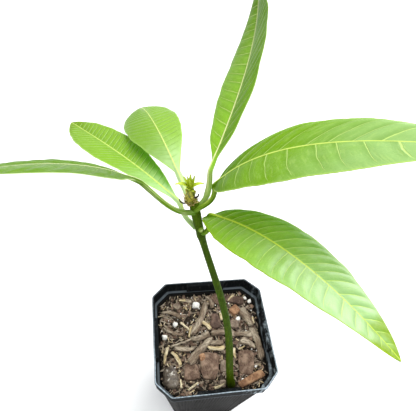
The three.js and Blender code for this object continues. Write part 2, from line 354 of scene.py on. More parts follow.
def leaf_material(name, width, look):
    """A waxy mango leaf, whose side veins are width wide. look names its colours near the stalk
    (young), over the blade and towards the tip (pale), and those of its tip, margin, midrib (rib),
    side veins, stalk (foot), and the painted shade on its shaded side and in its creases (dim).
    Where pale is lighter than the blade, it is also a painted sheen over the blade, and the
    midrib's colour also paints lengthwise highlights on the stalk. The stalk's colour fades out at
    reach along the blade, line is how strongly the side veins show, middle is the midrib's half
    width in millimetres, and gloss is how strongly the outer half shines."""
    made, n, shader = new_material(name, 0.45, coat_roughness=0.35, specular=look["specular"])
    along, rib_off, under = n.value("along"), n.value("rib"), n.value("under")
    inputs = {"Phase": n.value("phase"), "Rib": rib_off, "Edge": n.value("edge"), "Along": along}
    inputs.update({"Width": width, "Midrib width": look["middle"]})
    veins = n.add("Group", inputs, node_tree=VEINS).outputs
    place = n.place()
    cloud = n.noise(place, 9.0, 3.0)
    where = n.plus(along, n.times(n.less(cloud, 0.5), 0.25))
    end = n.step(where, 0.83, 0.95)
    mottle = n.noise(place, 2.2, 4.0, 0.6)
    bloom = n.times(n.step(where, 0.05, 0.5, 0.05, 0.16), n.less(1.0, end))
    foot = n.step(along, -0.04, look["reach"], 1.0, 0.0)
    foot = n.times(foot, n.step(rib_off, 1.3, 2.2, 1.0, 0.0))
    groove = n.times(veins["Midrib"], n.value("top"), foot, n.step(along, -0.13, -0.01, 0.0, 0.75))
    # lengthwise streaks for the painted highlights on the stalk
    fibre = n.noise(n.vector(rib_off, n.times(along, 6.0), n.times(under, 3.0)), 0.35)
    base = n.paint(
        look["young"],
        (n.step(where, 0.0, 0.4), look["blade"]),
        # pale, here and in the mottle below, is the blade's paler colour towards the tip and, where
        # it is lighter than the blade, a painted sheen
        (n.step(where, 0.35, 0.85), look["pale"]),
        (n.times(end, 0.9), look["tip"]),
        (n.times(n.value("shade"), n.step(cloud, 0.2, 0.6, 0.75, 1.0)), look["dim"]),
        (n.times(n.step(mottle, 0.35, 0.75), bloom), look["pale"]),
        (n.times(veins["Thread"], bloom), look["vein"]),
        (n.times(veins["Net"], 0.08), look["vein"]),
        # painted shade in the creases beside the side veins
        (n.times(veins["Hollow"], 0.32), look["dim"]),
        (n.times(veins["Veins"], look["line"]), look["vein"]),
        (n.times(veins["Margin"], 0.8), look["margin"]),
        (veins["Midrib"], look["rib"]),
        (n.times(under, 0.55), UNDERSIDE),
        (foot, look["foot"]),
        (groove, look["rib"]),
        (n.step(along, -0.14, -0.06, 0.6, 0.0), STALK_ROOT),
        # painted lengthwise highlights on the stalk, in the midrib's colour
        (n.times(foot, n.step(fibre, 0.45, 0.7, 0.0, 0.3)), look["rib"]),
    )
    grain = n.less(n.noise(place, 0.7), n.times(veins["Net"], 0.4))
    relief = n.plus(n.times(veins["Veins"], -1.2), n.times(grain, 0.5))
    relief = n.plus(relief, n.times(veins["Thread"], -0.3))
    dull = n.plus(n.step(mottle, 0.3, 0.8, 0.36, 0.5), n.times(under, 0.25))
    top = n.less(1.0, n.math("MAXIMUM", under, end))
    shine = n.times(n.step(where, 0.25, 0.7, 0.0, look["gloss"]), top)
    n.feed(shader, Base_Color=base, Normal=n.bump(relief, 0.12), Roughness=dull, Coat_Weight=shine)
    return made


# ---- Stem ----

STEM_CURVE = [
    (11, -35.3, 111.1),
    (2.1, -30.7, 155.8),
    (8.1, -24.1, 200.6),
    (-16.6, -20.5, 245.3),
    (-23.8, -11.3, 290),
]
FOOT_RADIUS, NECK_RADIUS = 2.75, 1.45
NODE_AT = 0.895
KNOB_AT, KNOB_HEADING, KNOB_HEIGHT = 0.922, 290, 0.85
KNOB_TURN, KNOB_LENGTH = 0.62, 0.0085
# how far along the stem each scar lies, its heading and its height
SCARS = [(0.16, 250, 0.3), (0.33, 20, 0.25), (0.52, 290, 0.3), (0.7, 150, 0.3)]
SCAR_TURN, SCAR_LENGTH = 0.5, 0.006
STEM_ROWS, STEM_POINTS = 420, 56


def stem_radius(along):
    """Even taper, plus a flare at the mix, a swelling under the whorl and a ring at the node."""
    taper = FOOT_RADIUS + (NECK_RADIUS - FOOT_RADIUS) * along
    flare = 0.5 * np.exp(-((along / 0.05) ** 2))
    crown = 0.75 * ease(along, 0.84, 0.98)
    node = 0.3 * np.exp(-(((along - NODE_AT) / 0.012) ** 2))
    return taper + flare + crown + node


def around(centre, axis, across, radius, angle):
    """Rings about each centre: centre + radius (across cos(angle) + (axis x across) sin(angle))."""
    across = unit(across - axis * (across * axis).sum(-1, keepdims=True))
    forward = np.cross(axis, across)
    round_it = across[:, None] * np.cos(angle)[:, None] + forward[:, None] * np.sin(angle)[:, None]
    return centre[:, None] + round_it * radius[..., None]


def spot(angle, along, heading, at, turn, length):
    """Squared distance from a spot on the stem: ((angle - heading) / turn)^2 plus
    ((along - at) / length)^2, the short way round."""
    gap = (angle - math.radians(heading) + math.pi) % (2 * math.pi) - math.pi
    return (gap / turn) ** 2 + ((along - at) / length) ** 2


def stem_skin():
    """The stem's rings with fine lengthwise wrinkles, small bumps where old leaves stood, and a
    resting bud on the front of the node."""
    along = np.linspace(0, 1, STEM_ROWS)
    centre, axis = bezier(STEM_CURVE, along)
    axis[[0, -1]] = (0, 0, 1)
    across = np.tile([1.0, 0, 0], (STEM_ROWS, 1))
    angle = circle(STEM_POINTS)
    here = along[:, None]
    bark = stacked(np.cos(angle) * 8, np.sin(angle) * 8, here * 30)
    wrinkles = 1 + 0.016 * rough(bark, 3.0, 3) + 0.012 * rough(bark, 9.0, 4)
    radius = stem_radius(here) * wrinkles
    for at, heading, height in SCARS:
        radius += height * np.exp(-spot(angle, here, heading, at, SCAR_TURN, SCAR_LENGTH))
    off = spot(angle, here, KNOB_HEADING, KNOB_AT, KNOB_TURN, KNOB_LENGTH)
    knob = np.exp(-(off**1.5))
    radius += KNOB_HEIGHT * knob
    return loft(around(centre, axis, across, radius, angle), {"along": here, "knob": knob})


def stem_material():
    """Green bark with lengthwise streaks and dark clouds, a pale resting bud with a painted
    highlight on its crown, and an earthy foot.
    """
    made, n, shader = new_material("stem bark", 0.6, specular=0.04)
    grain = n.add("Group", {"Size": 2.5}, node_tree=GRAIN).outputs
    along, knob = n.value("along"), n.value("knob")
    streak = n.noise(n.stretched(n.place(), (1.0, 1.0, 0.15)), 1.1, 3.0)
    base = n.paint(
        "364800",
        (n.step(along, 0.0, 0.9), "344c00"),
        (n.step(along, 0.9, 1.0), "425c00"),
        (n.step(streak, 0.45, 0.75, 0.0, 0.6), "506c00"),
        (n.step(grain["Cloud"], 0.55, 1.0, 0.0, 0.4), "283800"),
        (n.times(grain["Fleck"], 0.35), "8f9a58"),
        (n.step(knob, 0.15, 0.75, 0.0, 0.9), "84a03c"),
        # painted highlight on the crown of the resting bud
        (n.step(knob, 0.85, 0.99, 0.0, 0.7), "c0cc90"),
        (n.step(along, 0.0, 0.035, 0.5, 0.0), "3a2c1a"),
    )
    n.feed(shader, Base_Color=base, Normal=n.bump(n.plus(streak, grain["Cloud"]), 0.08))
    return made


# ---- Leaves ----

# stalk holds the first points of the stalk's curve, and base is where the blade begins. Heading and
# rise are the midrib's direction there, turn and bend how far they change by the tip, and lift is a
# further rise by the square of the way. left and right are half widths, and early and late the
# powers of the outline. roll and twist turn the blade about its midrib, and fold lifts its halves.
# veins is the number of side veins, slant how far they lean and wave how high the margin waves.
# taper is where the blade's foot is at its full width, wing the half width and the beginning of the
# wing on the stalk, notch where the right margin is cut in, start the share of the blade that is
# left off at its foot, and lobe how far the foot reaches back and out. shade is the shaded side,
# where the shade begins and ends along it and how deep it is, and shade_across its edge across.
LEAVES = {
    "leaf_left": dict(
        stalk=((-22.9, -12.3, 285.2), (-23.7, -14.5, 286.8), (-34.1, -15.3, 287.7),
               (-32.7, -14.0, 287.9)),
        base=(-46.5, -7.5, 300), heading=205, rise=50, turn=8, bend=-72, lift=16,
        length=108, left=17.5, right=12.5, early=0.7, late=1.0, roll=16, twist=33, fold=-2,
        veins=17, slant=0.7, wave=0.35, taper=0.25, wing=(1.6, 0.45), shade=(1, 0.0, 0.5, 0.3),
    ),
    "leaf_back_left": dict(
        stalk=((-22.3, -13.6, 275.0), (-23.5, -12.1, 277.2), (-28.9, -8.9, 275.7)),
        base=(-29.5, -4, 282.5), heading=119, rise=-11, turn=4, bend=-18, lift=12,
        length=130, left=14.5, right=12.5, early=1.05, late=0.8, roll=10, twist=-17, fold=11,
        veins=29, slant=0.6, wave=0.3, wing=(1.5, 0.6), shade=(-1, 0.12, 0.58, 0.85),
        shade_across=(0.15, 0.85),
    ),
    "leaf_back": dict(
        stalk=((-23.4, -11.3, 286.6), (-24.4, -8.6, 287.2), (-26.9, -5.7, 288.3),
               (-26.0, -5.5, 287.5)),
        base=(-28.5, 3, 290.5), heading=102, rise=-3, turn=-3, bend=-24, lift=-13,
        length=118, left=17, right=15.5, early=1.35, late=1.05, roll=-7, twist=-8, fold=-12,
        veins=26, slant=0.6, wave=0.25, wing=(1.5, 0.5), shade=(1, 0.2, 0.9, 0.2),
    ),
    "leaf_upright": dict(
        stalk=((-21.9, -11.4, 287.3), (-19.2, -11.3, 289.7), (-15.7, -7.4, 292.3)),
        base=(-16.8, -4.5, 303), heading=60.4, rise=33, turn=21, bend=-60, lift=41,
        length=123, left=15, right=17, early=0.8, late=0.85, roll=-41, twist=-36, fold=11,
        veins=20, slant=0.55, wave=0.45, taper=0.13, wing=(1.6, 0.1), notch=0.79,
        shade=(-1, 0.1, 1.2, 0.6),
    ),
    "leaf_right": dict(
        stalk=((-23.2, -12.1, 286.2), (-23.4, -14.4, 287.8), (-24.6, -12.3, 289.0),
               (-10.9, -15.3, 291.4)),
        base=(-15, -8, 297), heading=-37, rise=66, turn=-12, bend=-72, lift=30,
        length=105, left=16, right=19.5, early=0.7, late=0.85, roll=11, twist=-12, fold=1,
        veins=12, slant=0.8, slant_right=0.35, wave=0.3, shade=(1, 0.0, 0.3, 0.3),
    ),
    "leaf_front": dict(
        stalk=((-19.6, -15.2, 274.0), (-18.7, -16.1, 272.9), (-14.5, -17.0, 277.3)),
        base=(-18, -11.5, 282), heading=-52, rise=36, turn=-13, bend=-53, lift=13,
        length=97, left=14.5, right=19, early=0.7, late=0.75, roll=4, twist=-34, fold=6,
        veins=19, slant=0.6, slant_right=0.15, wave=0.3, start=0.035, lobe=(3.2, 3.0),
        shade=(1, 0.0, 0.75, 0.85), shade_across=(0.15, 1.0),
    ),
}
STALK_END = 2.0  # the last stretch of each stalk runs straight into the midrib
STALK_ROOT_RADIUS, STALK_RADIUS, TIP_RADIUS = 1.4, 1.12, 0.3
BLADE_THICKNESS = 0.36
VEIN_SHIFT = VEIN_START + VEIN_WANDER / 2  # how far the drawn veins lie from whole phases
STALK_ROWS, BLADE_ROWS = 36, 300
ACROSS_TOP, ACROSS_UNDER = 85, 55


def outline(along, early, late):
    """Width of a blade, 0 at both ends and 1 at its widest: along^early (1 - along)^late, scaled."""
    widest = early / (early + late)
    width = np.clip(along, 0, 1) ** early * np.clip(1 - along, 0, 1) ** late
    return width / (widest**early * (1 - widest) ** late)


def midrib(leaf, rows):
    """Points of the midrib, evenly along it, and the blade's own axes. Heading and rise change
    evenly along it, rise with a lift by the square of the way, and the points are the running sum
    of its direction."""
    s = np.linspace(0, 1, rows + 1)
    heading = np.radians(leaf["heading"] + leaf["turn"] * s)
    rise = np.radians(leaf["rise"] + leaf["bend"] * s + leaf["lift"] * s * s)
    level = np.cos(rise)
    forward = stacked(level * np.cos(heading), level * np.sin(heading), np.sin(rise))
    steps = (forward[1:] + forward[:-1]) / 2 * leaf["length"] / rows
    point = np.asarray(leaf["base"]) + np.concatenate([[(0, 0, 0)], np.cumsum(steps, 0)])
    side = stacked(-np.sin(heading), np.cos(heading), 0.0)
    side = turned(side, forward, np.radians(leaf["roll"] + leaf["twist"] * s))
    return s, point, forward, side, np.cross(forward, side)


def stalk(leaf, point, forward, side, rows):
    """The stalk's curve from inside the stem to the blade's first point, with axes that turn into
    the blade's."""
    t = np.arange(rows) / rows
    points, forwards = bezier([*leaf["stalk"], point - forward * STALK_END, point], t)
    level = unit(np.cross((0, 0, 1), point - np.array(leaf["stalk"][0])))
    sides = level * (1 - t[:, None]) + side * t[:, None]
    sides = unit(sides - forwards * (sides * forwards).sum(-1, keepdims=True))
    return t, points, forwards, sides, np.cross(forwards, sides)


def leaf_line(leaf):
    """The line of a leaf from its stalk's root to its tip: (t, s, points, forwards, sides,
    normals). t runs from 0 to 1 along the stalk and s from 0 to 1 along the blade."""
    s, *axes = midrib(leaf, BLADE_ROWS)
    first = int(leaf.get("start", 0) * BLADE_ROWS)
    s, axes = s[first:], [v[first:] for v in axes]
    s = (s - s[0]) / (1 - s[0])
    t, *rest = stalk(leaf, *(v[0] for v in axes[:3]), STALK_ROWS)
    t = np.concatenate([t, np.ones(len(s))])[:, None]
    s = np.concatenate([np.zeros(STALK_ROWS), s])[:, None]
    return (t, s, *(np.concatenate([a, b]) for a, b in zip(rest, axes)))


def section(top, under):
    """Places across a blade: x from 1 at the left margin to -1 at the right over the top and back
    underneath, and face, 1 on top and -1 underneath."""
    upper, lower = np.linspace(1, -1, top), np.linspace(-1, 1, under)[1:-1]
    return np.concatenate([upper, lower]), np.repeat([1.0, -1.0], [len(upper), len(lower)])


def blade_width(leaf, s):
    """The blade's width along it, 1 at its widest, pinched where it leaves the stalk."""
    pinch = 0.25 + 0.75 * ease(s, -0.01, leaf.get("taper", 0.03))
    return outline(s, leaf["early"], leaf["late"]) * pinch


def stalk_wing(leaf, t, s):
    """Half width of the narrow wing that runs down the stalk from the blade."""
    size, begin = leaf.get("wing", (0, 0))
    return size * ease(t, begin, begin + 0.35) * (1 - ease(s, 0, 0.2))


def base_lobe(t, s, x):
    """1 on the right side of the blade's foot and 0 further along."""
    return (x < 0) * (t == 1) * (1 - ease(s, 0, 0.13))


def half_width(leaf, seed, t, s, x):
    """Half the blade's width on x's side: left or right times its width along, with wing, uneven
    margin, notch and lobe."""
    half = np.where(x > 0, leaf["left"], leaf["right"]) * blade_width(leaf, s)
    half = np.maximum(half, stalk_wing(leaf, t, s))
    margin = stacked(s * leaf["length"], np.sign(x) * 30, 0.0)
    half = half * (1 + 0.022 * rough(margin, 11.0, seed + 7) + 0.008 * rough(margin, 3.0, seed + 8))
    if "notch" in leaf:
        past = s - leaf["notch"]
        cut = 0.26 * np.exp(-((past / 0.015) ** 2)) - 0.16 * np.exp(-(((past - 0.07) / 0.05) ** 2))
        half = half * (1 - (x < 0) * cut)
    _, out = leaf.get("lobe", (0, 0))
    return np.sqrt(half**2 + (out * base_lobe(t, s, x)) ** 2)


def vein_phase(leaf, seed, s, x, half):
    """A number that rises by one from each side vein to the next. It grows with the place where
    the vein leaves the midrib, which lies slant times the way out behind the vein's own place."""
    right = leaf["slant"]
    if "slant_right" in leaf:
        right = leaf["slant_right"] + 0.35 * s
    slant, off = np.where(x > 0, leaf["slant"], right), np.abs(x)
    slope = slant * half / leaf["length"] * off * (1 + 0.3 * off**3)
    start = np.clip(s - slope, -0.1, 1)
    phase = leaf["veins"] * np.sign(start) * np.abs(start) ** 0.92 + 0.42 * ease(x, -0.02, 0.02)
    sway = 0.06 * np.sin(43 * start + 2 * seed + np.sign(x))
    return phase + 0.12 * np.sin(19 * start + seed) + sway


def blade_level(leaf, seed, s, x, half, reach, phase):
    """How high the blade lies over its midrib: its fold, a slight arch, a swelling between each two
    side veins, and a wave that grows towards the margin."""
    off = np.abs(x)
    fold = half * off * math.sin(math.radians(leaf["fold"]))
    arch = 0.1 * half * (off - x * x)
    bulge = (0.5 - 0.5 * np.cos(2 * math.pi * (phase + VEIN_SHIFT))) ** 0.6
    middle = ease(off, 0.04, 0.3) * (1 - ease(off, 0.75, 1.0))
    swelling = 0.38 * bulge * middle * np.minimum(blade_width(leaf, s) * 1.4, 1)
    spread = stacked(s * leaf["length"], x * reach, 0.0)
    wave = leaf["wave"] * off**2.5 * rough(spread, 17.0, seed) * ease(s, 0.03, 0.25)
    return fold + arch + swelling + wave


def leaf_skin(leaf, seed):
    """Stalk and blade as one closed skin: point + side x reach + normal (level + face thickness).
    The midrib stands out of the thin sheet as a round rod that is sunk on top."""
    t, s, point, forward, side, normal = leaf_line(leaf)
    x, face = section(ACROSS_TOP, ACROSS_UNDER)
    half = half_width(leaf, seed, t, s, x)
    rod = STALK_ROOT_RADIUS + (STALK_RADIUS - STALK_ROOT_RADIUS) * ease(t, 0, 0.5)
    rod = rod + (TIP_RADIUS - STALK_RADIUS) * s
    reach = (half**4 + rod**4) ** 0.25
    off = np.abs(x) * reach
    phase = vein_phase(leaf, seed, s, x, half)
    on_blade = ease(s, 0.0, 0.06)
    level = blade_level(leaf, seed, s, x, half, reach, phase) * on_blade
    flat = np.maximum(on_blade, np.minimum(stalk_wing(leaf, t, s), 1))
    sheet = BLADE_THICKNESS / 2 * np.sqrt(np.clip(1 - x**8, 0, 1)) * flat
    tall = np.where(face > 0, 1 - 0.62 * ease(s, 0, 0.1), 1.0)
    bar = np.sqrt(np.clip(rod**2 - off**2, 0, None)) * tall
    thick = (sheet**4 + bar**4) ** 0.25
    narrowed = 1 + (math.cos(math.radians(leaf["fold"])) - 1) * on_blade
    back, _ = leaf.get("lobe", (0, 0))
    lobe = back * np.abs(x) * base_lobe(t, s, x)
    rings = (
        point[:, None]
        - forward[:, None] * lobe[..., None]
        + side[:, None] * (x * reach * narrowed)[..., None]
        + normal[:, None] * (level + face * thick)[..., None]
    )
    which, low, high, depth = leaf["shade"]
    inner, outer = leaf.get("shade_across", (-0.05, 0.25))
    shade = ease(s, low - 0.08, low) * (1 - ease(s, high - 0.2, high)) * ease(x * which, inner, outer)
    values = {
        "phase": phase,
        "rib": off,
        "edge": np.where(s > 0, reach * (1 - np.abs(x)), 3.0),
        "along": s - 0.15 * (1 - t),
        "under": (face < 0) * on_blade,
        "top": face > 0,
        "shade": depth * shade,
    }
    return loft(rings, values)


# ---- Growing tip ----

SHOOT_SIZE = 1.13
SHOOT_BASE = np.array([-25.3, -11.4, 290.0])
SHOOT_LEAN = math.radians(3.0)
BUD_RADIUS, BUD_HEIGHT = 1.75, 11
BUD_ROWS, BUD_POINTS = 60, 40
LEAFLET_ROWS, LEAFLET_ACROSS = 22, 9


LEAFLETS = [
    # heading, rise, root, length, half width, droop
    (184, 76, 7.6, 7.4, 1.0, -85),
    (352, 78, 7.4, 6.6, 1.0, -85),
    (80, 88, 7.0, 8.2, 0.85, -8),
    (20, 78, 7.4, 7.0, 0.75, -8),
    (160, 70, 7.4, 7.0, 0.85, -6),
    (250, 84, 6.6, 7.0, 0.8, -6),
    (120, 66, 7.0, 6.4, 0.7, 10),
    (230, 74, 6.0, 5.6, 0.85, -30),
    (285, 70, 5.6, 5.4, 0.95, -35),
    (50, 62, 6.2, 6.0, 0.8, 0),
]


def leaned(points):
    """From the growing tip's upright frame to its place on the stem."""
    x, y, z = np.moveaxis(points * SHOOT_SIZE, -1, 0)
    c, s = math.cos(SHOOT_LEAN), math.sin(SHOOT_LEAN)
    return SHOOT_BASE + np.stack([x * c - z * s, y, x * s + z * c], -1)


def leaflet(heading, rise, root, length, half, droop, start=(0, 0), thick=0.3, cup=0.35):
    """A small pointed blade, cupped upwards across, that thins towards its margins."""
    strip = dict(base=(*start, root), heading=heading, rise=rise, turn=0, bend=droop, lift=0)
    strip.update(length=length, roll=0, twist=0)
    s, point, _, side, normal = midrib(strip, LEAFLET_ROWS)
    x, face = section(LEAFLET_ACROSS, LEAFLET_ACROSS)
    s = s[:, None]
    across = half * np.maximum(outline(s, 0.35, 0.75), 0.06) * x
    level = cup * half * x * x + face * thick * (1 - x**2) * (1 - 0.7 * s) ** 0.5
    rings = point[:, None] + side[:, None] * across[..., None] + normal[:, None] * level[..., None]
    return loft(leaned(rings), {"along": s})


def bud_skin():
    """The bud's body, rings that swell and narrow with a spiral of folds, and its young leaflets."""
    t = np.linspace(0, 1, BUD_ROWS)[:, None]
    angle = circle(BUD_POINTS)
    radius = BUD_RADIUS * (1 - 0.12 * np.cos(t * 14)) * (1 - t**2.6) ** 0.6 + 0.05
    radius = radius + 0.3 * np.sin(4 * angle + 7 * t) * ease(t, 0.02, 0.2) * (1 - t)
    rings = stacked(radius * np.cos(angle), radius * np.sin(angle), t * BUD_HEIGHT - 0.3)
    core = loft(leaned(rings), {"along": 0.5 * t - 0.5})
    return joined([core] + [leaflet(*sizes) for sizes in LEAFLETS])


def scale_ring(seed, number, root, out, rise, length, half, droop):
    """A ring of small scales: each value pair is the least and the most."""
    draw = np.random.default_rng(seed)
    scales = []
    for heading in np.arange(number) * 360 / number + seed * 40:
        turn = math.radians(heading)
        pick = [draw.uniform(*pair) for pair in (rise, root, length, half, droop)]
        start = (out * math.cos(turn), out * math.sin(turn))
        scales.append(leaflet(heading + draw.uniform(-14, 14), *pick, start, 0.16, 0.5))
    return scales


def scale_skin():
    """Overlapping olive scales that clasp the bud."""
    rings = [
        scale_ring(1, 5, (0.4, 1.0), 1.3, (66, 76), (3.6, 4.6), (1.1, 1.4), (14, 30)),
        scale_ring(2, 5, (2.4, 3.0), 1.3, (68, 80), (3.4, 4.4), (1.0, 1.25), (12, 30)),
        scale_ring(3, 5, (4.4, 5.0), 1.1, (66, 78), (3.4, 4.2), (0.8, 1.0), (0, 24)),
    ]
    return joined(sum(rings, []))


def bract_skin():
    """Short dry splinters round the foot of the bud."""
    rings = [
        scale_ring(4, 11, (0.2, 1.2), 1.5, (10, 50), (1.8, 3.0), (0.3, 0.55), (-10, 50)),
        scale_ring(5, 7, (1.6, 2.6), 1.7, (25, 60), (1.4, 2.4), (0.25, 0.5), (-10, 40)),
    ]
    return joined(sum(rings, []))


def dry_scale_skin():
    """Dark withered scales that curl by the bud's sides."""
    left = leaflet(186, 8, 0.8, 4.6, 0.4, 95, (-2.0, -0.8), 0.12, 0.8)
    right = leaflet(340, 4, 4.6, 4.2, 0.5, 105, (0.9, -1.6), 0.16, 0.8)
    return joined([left, right])


def bud_material():
    """Glossy young green, brownish on the bud's body and palest at the leaflets' tips."""
    made, n, shader = new_material("young leaf", 0.5, coat=0.2)
    along = n.value("along")
    cloud = n.noise(n.place(), 1.4, 4.0)
    base = n.paint(
        "6a6410",
        (n.step(along, -0.5, -0.2), "606800"),
        (n.step(along, -0.25, 0.0), "7c8800"),
        (n.step(along, 0.0, 0.45), "a0b408"),
        (n.step(along, 0.45, 0.9), "bccc30"),
        (n.step(cloud, 0.5, 0.8, 0.0, 0.35), "5c6000"),
    )
    n.feed(shader, Base_Color=base, Normal=n.bump(cloud, 0.2))
    return made


def husk_material(name, dark, light):
    """A dull scale, clouded from dark to light."""
    made, n, shader = new_material(name, 0.75)
    cloud = n.noise(n.place(), 0.9, 4.0)
    base = n.paint(dark, (n.step(cloud, 0.35, 0.7), light))
    n.feed(shader, Base_Color=base, Normal=n.bump(cloud, 0.15))
    return made


# ---- Pot ----

RIM_HALF, RIM_CHAMFER = 45.0, 11.1
FOOT_HALF, FOOT_CHAMFER = 29.0, 7.0
SEAM, SEAM_SLOPE = 15.5, 0.35
RIB_PITCH, RIB_DEPTH = 2.4, 0.35
CORNER_RADIUS = 4.0
FLANK_POINTS, MIDDLE_POINTS, BEND_POINTS, CUT_POINTS = 60, 110, 8, 42

# Height and half width of each level of the pot, up the outside, over the lip and down the inside.
POT_FOOT = [
    (0.35, 24.5), (0.3, 27.4), (0.0, 27.9), (0.0, 28.3), (0.35, 28.85), (1.0, 29.1), (2.5, 29.3),
]
POT_RIBBED_WALL = [(3.5, 29.45), (40.0, 33.75), (80.0, 38.6), (109.0, 42.1), (111.6, 42.4)]
POT_RIM = [
    (112.4, 42.5), (112.9, 42.8), (113.3, 43.5), (113.7, 44.05), (114.3, 44.25), (118.0, 44.33),
    (121.9, 44.42), (122.5, 44.6), (123.0, 44.9), (123.5, 45.0), (124.4, 45.0), (124.8, 44.9),
    (124.97, 44.65), (125.0, 44.4), (124.9, 44.1), (124.5, 43.85), (124.3, 43.75),
]
# On the ledge a third number is the half width in the middle of each side, where a panel stands.
POT_LEDGE = [
    (124.15, 43.72, 41.65), (123.8, 43.7, 41.45), (123.0, 43.6, 41.42), (116.2, 43.25, 41.38),
    (115.4, 43.1, 41.36), (115.0, 42.7, 41.35), (114.85, 42.2, 41.35), (114.75, 41.8, 41.34),
    (114.4, 41.45, 41.32),
]
POT_INSIDE = [
    (113.6, 41.3), (105.0, 40.2), (60.0, 34.6), (3.2, 27.6), (2.3, 27.2), (2.0, 26.4),
]


def four_sides(quarter):
    """Flat points turned about the middle by none, one, two and three quarter turns."""
    turns = []
    for c, s in ((1, 0), (0, 1), (-1, 0), (0, -1)):
        turns.append(quarter @ np.array([[c, s], [-s, c]]))
    return np.concatenate(turns)


def pot_ring(half, middle, ribs):
    """One level of the pot: a square with cut corners whose eight bends are rounded. middle is
    how far out the middle of each side stands. Ribs are a row of even waves round the wall, and
    the second result is 1 in the hollows between them."""
    widening = (half - FOOT_HALF) / (RIM_HALF - FOOT_HALF)
    chamfer = FOOT_CHAMFER + (RIM_CHAMFER - FOOT_CHAMFER) * widening
    end = half - chamfer - CORNER_RADIUS * math.tan(math.pi / 8)
    outer_seam = SEAM + SEAM_SLOPE
    left = np.linspace(-end, -outer_seam, FLANK_POINTS)
    right = np.linspace(outer_seam, end, FLANK_POINTS)
    along = np.concatenate([left, np.linspace(-SEAM, SEAM, MIDDLE_POINTS), right])
    out = np.where(np.abs(along) <= SEAM + 1e-6, middle, half)
    side = np.stack([out, along], -1)
    bend = np.linspace(0, math.pi / 4, BEND_POINTS)[1:]
    centre = (half - CORNER_RADIUS, end)
    arc = centre + CORNER_RADIUS * np.stack([np.cos(bend), np.sin(bend)], -1)
    other = arc[::-1, ::-1]
    cut = arc[-1] + (other[0] - arc[-1]) * np.linspace(0, 1, CUT_POINTS)[1:-1, None]
    quarter = np.concatenate([side, arc, cut, other[:-1]])
    steps = np.linalg.norm(np.diff(quarter, axis=0), axis=1)
    length = np.concatenate([[0], np.cumsum(steps)]) - steps.sum() / 2
    hollow = 1 - (0.5 + 0.5 * np.cos(2 * math.pi * length / RIB_PITCH)) ** 2
    slanting = np.arange(len(quarter))[:, None] >= len(side)
    inward = np.where(slanting, (math.sqrt(0.5), math.sqrt(0.5)), (1.0, 0.0))
    quarter = quarter - inward * (ribs * hollow)[:, None]
    return four_sides(quarter), np.tile(hollow * (ribs > 0), 4)


def pot_skin():
    """Every level of the pot's wall, slightly uneven towards the rim."""
    levels = [(z, half, half, 0) for z, half in POT_FOOT]
    levels += [(z, half, half, RIB_DEPTH) for z, half in POT_RIBBED_WALL]
    levels += [(z, half, half, 0) for z, half in POT_RIM]
    levels += [(z, half, middle, 0) for z, half, middle in POT_LEDGE]
    levels += [(z, half, half, 0) for z, half in POT_INSIDE]
    rings, grooves = [], []
    for z, half, middle, ribs in levels:
        flat, groove = pot_ring(half, middle, ribs)
        rings.append(np.concatenate([flat, np.full((len(flat), 1), z)], 1))
        grooves.append(groove)
    rings = np.array(rings)
    uneven = ease(rings[..., 2], 90, 125) * 0.12 * rough(rings, 26.0, 8)
    rings[..., :2] += uneven[..., None]
    return loft(rings, {"groove": np.array(grooves)})


def pot_material():
    """Black plastic: a dusty wall with painted shade in the hollows between its ribs and, below the
    rim, a greyer tone that is a painted reflection of the floor; a worn rim and lip, with a
    painted highlight along the top of the lip that is brightest at the front; a painted
    highlight on the ledge inside; and dried lime along the right-hand side and the front right
    corner."""
    made, n, shader = new_material("black pot plastic", 0.42, specular=0.004)
    place = n.place()
    right, back, height = n.apart(place)
    cloud = n.noise(place, 14.0, 4.0)
    dust = n.noise(place, 1.8, 6.0, 0.65)
    scuff = n.noise(n.stretched(place, (1.0, 1.0, 0.25)), 2.0, 5.0, 0.7)
    worn = n.times(n.step(scuff, 0.52, 0.72), n.step(height, 112.0, 118.0))
    film = n.times(n.step(dust, 0.45, 0.8), n.step(cloud, 0.35, 0.7))
    # painted highlight on the ledge inside the rim
    ledge_highlight = n.times(n.step(height, 114.2, 114.6), n.step(height, 115.0, 115.6, 1.0, 0.0))
    corner = n.step(n.less(right, back), 60.0, 73.0)
    side = n.times(n.step(right, 37.5, 40.5), n.step(back, 30.0, -20.0, 0.25, 0.6))
    side = n.math("MAXIMUM", corner, side)
    inside = n.times(n.step(right, 43.9, 44.3, 1.0, 0.0), n.step(height, 112.5, 113.5))
    spots = n.step(n.noise(n.stretched(place, (1.0, 0.6, 0.4)), 3.0, 5.0, 0.6), 0.46, 0.66)
    # painted highlight along the top of the lip, broken up by the dust
    lip_highlight = n.times(n.step(height, 124.75, 124.95), n.step(dust, 0.3, 0.65, 0.35, 1.0))
    base = n.paint(
        "15181a",
        (n.times(film, 0.5), "34322f"),
        # greyer wall below the rim: a painted reflection of the floor
        (n.step(height, 112.2, 113.6, 0.8, 0.0), "2a2825"),
        # painted shade in the hollows between the ribs
        (n.times(n.value("groove"), 0.9), "0b0a0a"),
        (n.times(worn, 0.35), "5f5e5a"),
        # the ledge's painted highlight
        (n.times(ledge_highlight, 0.3), "8a949c"),
        (n.times(side, inside, spots, 0.8), "aebcc4"),
        # the lip's painted highlight, brightest at the front
        (n.times(lip_highlight, n.step(back, 20.0, -30.0, 0.3, 1.0), 0.9), "b0bec8"),
    )
    dull = n.step(n.plus(film, worn), 0.0, 1.0, 0.34, 0.65)
    n.feed(shader, Base_Color=base, Roughness=dull, Normal=n.bump(dust, 0.05))
    return made


# ---- Potting mix ----

MIX_TOP = 110.7
